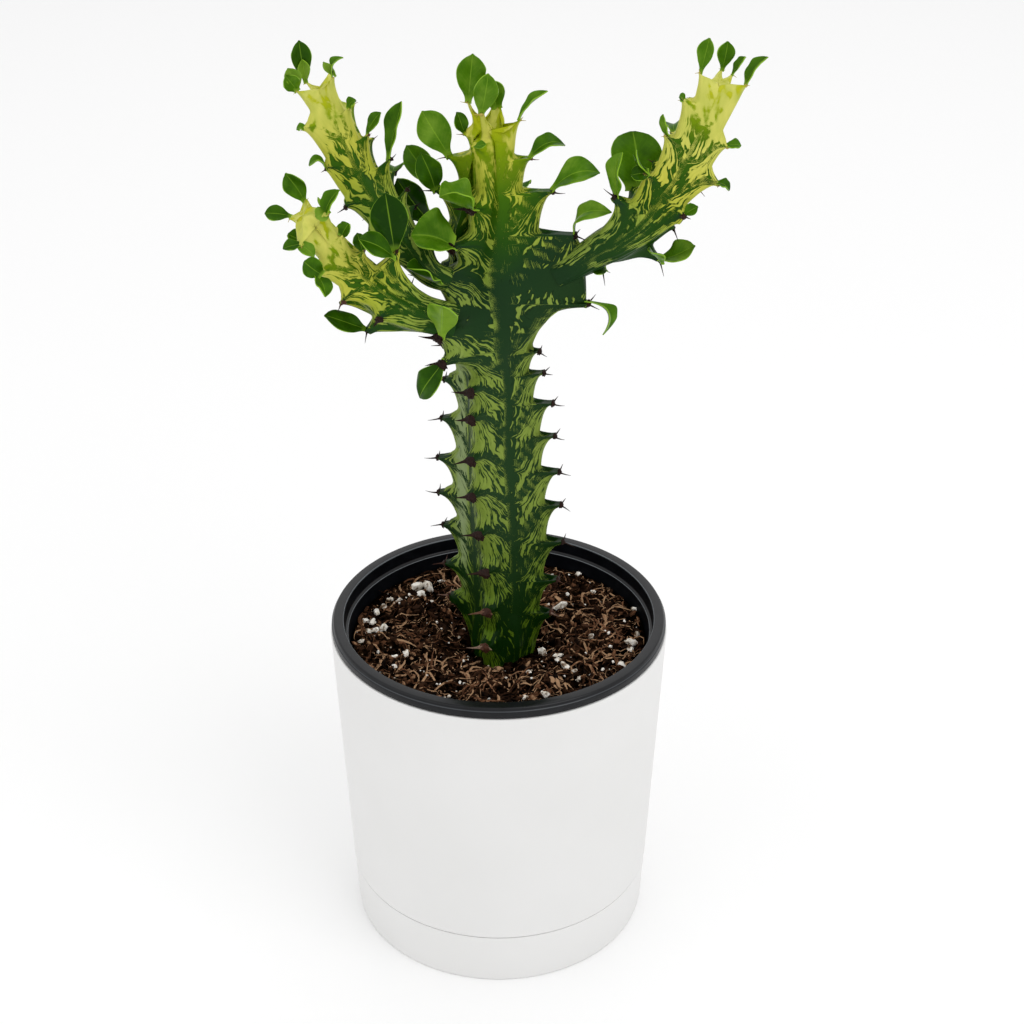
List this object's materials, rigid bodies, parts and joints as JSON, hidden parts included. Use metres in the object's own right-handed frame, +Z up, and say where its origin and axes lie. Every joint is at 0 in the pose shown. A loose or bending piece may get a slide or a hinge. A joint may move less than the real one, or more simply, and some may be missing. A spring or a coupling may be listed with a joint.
{
  "type": "potted succulent plant",
  "caption": "Upright ribbed succulent with toothed, spiny ribs, side branches and small leaves, rooted in a black nursery pot that sits in a plain white cover pot on a saucer base.",
  "frame": {"origin": "centre of the saucer base's flat underside, on the floor that the pot stands on", "axes": "+Z up, -Y towards the side that the picture shows, +X to the right in that view"},
  "size_m": [0.1444, 0.1148, 0.3236],
  "materials": {
    "white_plastic": "satin",
    "black_plastic": "satin",
    "potting_mix": "matte",
    "stem": "satin",
    "leaf": "satin"
  },
  "bodies": {
    "root": {"saucer_base": "white_plastic", "cover_pot": "white_plastic", "grower_pot": "black_plastic", "potting_mix": "potting_mix", "trunk": "stem", "branch_right": "stem", "branch_left_upper": "stem", "branch_left_lower": "stem", "leaf_trunk_right_1": "leaf", "leaf_trunk_right_2": "leaf", "leaf_trunk_right_3": "leaf", "leaf_trunk_right_4": "leaf", "leaf_trunk_right_5": "leaf", "leaf_trunk_front_1": "leaf", "leaf_trunk_front_2": "leaf", "leaf_trunk_front_3": "leaf", "leaf_trunk_front_4": "leaf", "leaf_trunk_front_5": "leaf", "leaf_trunk_front_6": "leaf", "leaf_trunk_left_1": "leaf", "leaf_trunk_left_2": "leaf", "leaf_trunk_left_3": "leaf", "leaf_trunk_left_4": "leaf", "leaf_trunk_left_5": "leaf", "leaf_trunk_left_6": "leaf", "leaf_trunk_back_1": "leaf", "leaf_trunk_back_2": "leaf", "leaf_trunk_back_3": "leaf", "leaf_trunk_back_4": "leaf", "leaf_left_upper_1": "leaf", "leaf_left_upper_2": "leaf", "leaf_left_upper_3": "leaf", "leaf_left_upper_4": "leaf", "leaf_left_upper_5": "leaf", "leaf_left_upper_6": "leaf", "leaf_left_upper_7": "leaf", "leaf_left_lower_1": "leaf", "leaf_left_lower_2": "leaf", "leaf_left_lower_3": "leaf", "leaf_left_lower_4": "leaf", "leaf_left_lower_5": "leaf", "leaf_left_lower_6": "leaf", "leaf_left_lower_7": "leaf", "leaf_left_lower_8": "leaf", "leaf_left_lower_9": "leaf", "leaf_left_lower_10": "leaf", "leaf_right_1": "leaf", "leaf_right_2": "leaf", "leaf_right_3": "leaf", "leaf_right_4": "leaf", "leaf_right_5": "leaf", "leaf_right_6": "leaf", "leaf_right_7": "leaf", "leaf_right_8": "leaf", "leaf_right_9": "leaf", "leaf_right_10": "leaf", "leaf_right_11": "leaf"}
  },
  "joints": []
}
